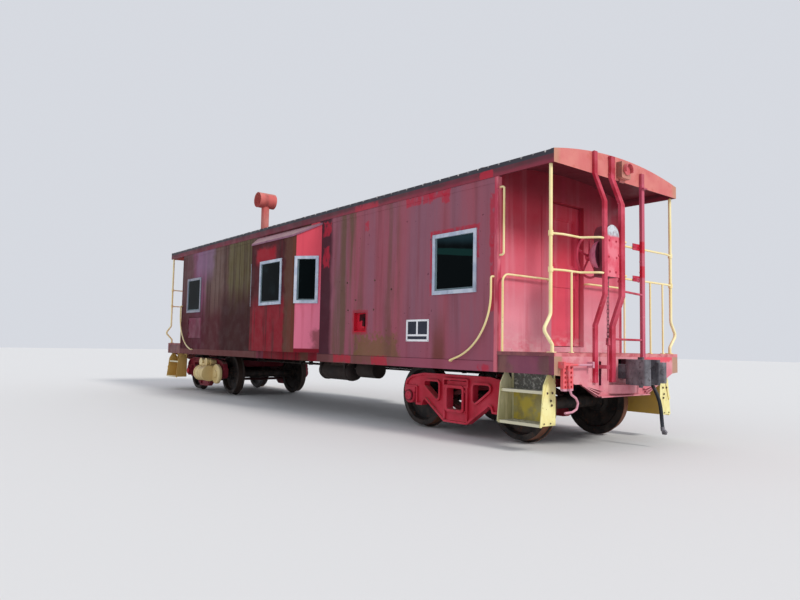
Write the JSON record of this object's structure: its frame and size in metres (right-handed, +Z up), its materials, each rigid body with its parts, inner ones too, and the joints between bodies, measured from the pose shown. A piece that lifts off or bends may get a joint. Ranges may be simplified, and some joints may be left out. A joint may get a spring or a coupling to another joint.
{
  "type": "bay window caboose",
  "caption": "Bay window railroad caboose with an arched roof, end platforms with steps and railings, hand brake, smoke stack, knuckle couplers and swivelling trucks",
  "frame": {"origin": "middle of the car in plan, at the lowest point of the wheel flanges, which it stands on", "axes": "+X along the car towards the end with the hand brake wheel, +Y to its left side, +Z up"},
  "size_m": [12.4616, 3.172, 4.2368],
  "materials": {
    "body_paint": "faded dark red paint, satin to matt",
    "end_paint": "red paint, satin",
    "roof_paint": "dark grey roof paint, matt",
    "deck_paint": "worn dark paint",
    "black_paint": "black underframe paint, dusty",
    "cream_paint": "cream yellow safety paint, satin",
    "truck_paint": "crimson truck paint, matt",
    "stack_paint": "faded red paint, matt",
    "lamp_grey": "grey paint",
    "bare_steel": "brown worn steel",
    "wheel_steel": "dark oily steel, rusty tread",
    "coupler_iron": "dark cast iron",
    "window_aluminium": "dull aluminium",
    "hose_rubber": "black rubber, matt",
    "glass": "dark tinted glass"
  },
  "bodies": {
    "caboose_body": {"deck": "deck_paint", "underframe": "black_paint", "side_sills": "black_paint", "cross_bearers": "black_paint", "body_bolsters": "black_paint", "end_sills": "end_paint", "bay_portals": "body_paint", "bay_floors": "black_paint", "bay_roofs": "body_paint", "brake_rods": "bare_steel", "left_side_wall": "body_paint", "right_side_wall": "body_paint", "front_end_wall": "end_paint", "rear_end_wall": "end_paint", "roof": "roof_paint", "left_bay": "body_paint", "right_bay": "body_paint", "window_frames": "window_aluminium", "window_glass": "glass", "steps": "cream_paint", "front_end_posts": "end_paint", "rear_end_posts": "end_paint", "end_railings": "cream_paint", "end_wall_handrails": "cream_paint", "side_grab_irons": "cream_paint", "brake_housing": "end_paint", "brake_wheel": "end_paint", "brake_chain": "bare_steel", "marker_lamps": "lamp_grey", "couplers": "coupler_iron", "coupler_knuckles": "coupler_iron", "uncoupling_levers": "end_paint", "brake_pipe": "black_paint", "front_air_hose": "hose_rubber", "rear_air_hose": "hose_rubber", "front_glad_hand": "coupler_iron", "rear_glad_hand": "coupler_iron", "smoke_stack": "stack_paint", "air_reservoir": "black_paint", "brake_cylinder": "black_paint"},
    "front_truck": {"front_truck_side_frames": "truck_paint", "front_truck_bearings": "truck_paint", "front_truck_bolster": "truck_paint", "front_truck_springs": "truck_paint", "front_truck_brake_beams": "bare_steel"},
    "rear_truck": {"rear_truck_side_frames": "truck_paint", "rear_truck_bearings": "truck_paint", "rear_truck_bolster": "truck_paint", "rear_truck_springs": "truck_paint", "rear_truck_brake_beams": "bare_steel", "axle_generator": "cream_paint"},
    "wheelset_1": {"wheelset_1": "wheel_steel"},
    "wheelset_2": {"wheelset_2": "wheel_steel"},
    "wheelset_3": {"wheelset_3": "wheel_steel"},
    "wheelset_4": {"wheelset_4": "wheel_steel"},
    "front_door": {"front_door": "end_paint", "front_door_glass": "glass"},
    "rear_door": {"rear_door": "end_paint", "rear_door_glass": "glass"},
    "locker_door": {"locker_door": "body_paint"}
  },
  "joints": [
    {"name": "front_truck_swivel", "type": "hinge", "parent": "caboose_body", "child": "front_truck", "pos_m": [4.02, 0, 0.728], "axis": [0, 0, 1], "range_deg": [-3, 3]},
    {"name": "rear_truck_swivel", "type": "hinge", "parent": "caboose_body", "child": "rear_truck", "pos_m": [-4.02, 0, 0.728], "axis": [0, 0, 1], "range_deg": [-3, 3]},
    {"name": "wheelset_1_spin", "type": "hinge", "parent": "front_truck", "child": "wheelset_1", "pos_m": [4.895, 0, 0.447], "axis": [0, 1, 0], "continuous": true},
    {"name": "wheelset_2_spin", "type": "hinge", "parent": "front_truck", "child": "wheelset_2", "pos_m": [3.145, 0, 0.447], "axis": [0, 1, 0], "continuous": true},
    {"name": "wheelset_3_spin", "type": "hinge", "parent": "rear_truck", "child": "wheelset_3", "pos_m": [-3.145, 0, 0.447], "axis": [0, 1, 0], "continuous": true},
    {"name": "wheelset_4_spin", "type": "hinge", "parent": "rear_truck", "child": "wheelset_4", "pos_m": [-4.895, 0, 0.447], "axis": [0, 1, 0], "continuous": true},
    {"name": "front_door_hinge", "type": "hinge", "parent": "caboose_body", "child": "front_door", "pos_m": [4.814, 0.384, 2.053], "axis": [0, 0, -1], "range_deg": [0, 90]},
    {"name": "rear_door_hinge", "type": "hinge", "parent": "caboose_body", "child": "rear_door", "pos_m": [-4.814, -0.384, 2.053], "axis": [0, 0, -1], "range_deg": [0, 90]},
    {"name": "locker_door_hinge", "type": "hinge", "parent": "caboose_body", "child": "locker_door", "pos_m": [-4.474, -1.2663, 1.423], "axis": [0, 0, -1], "range_deg": [0, 100]}
  ]
}
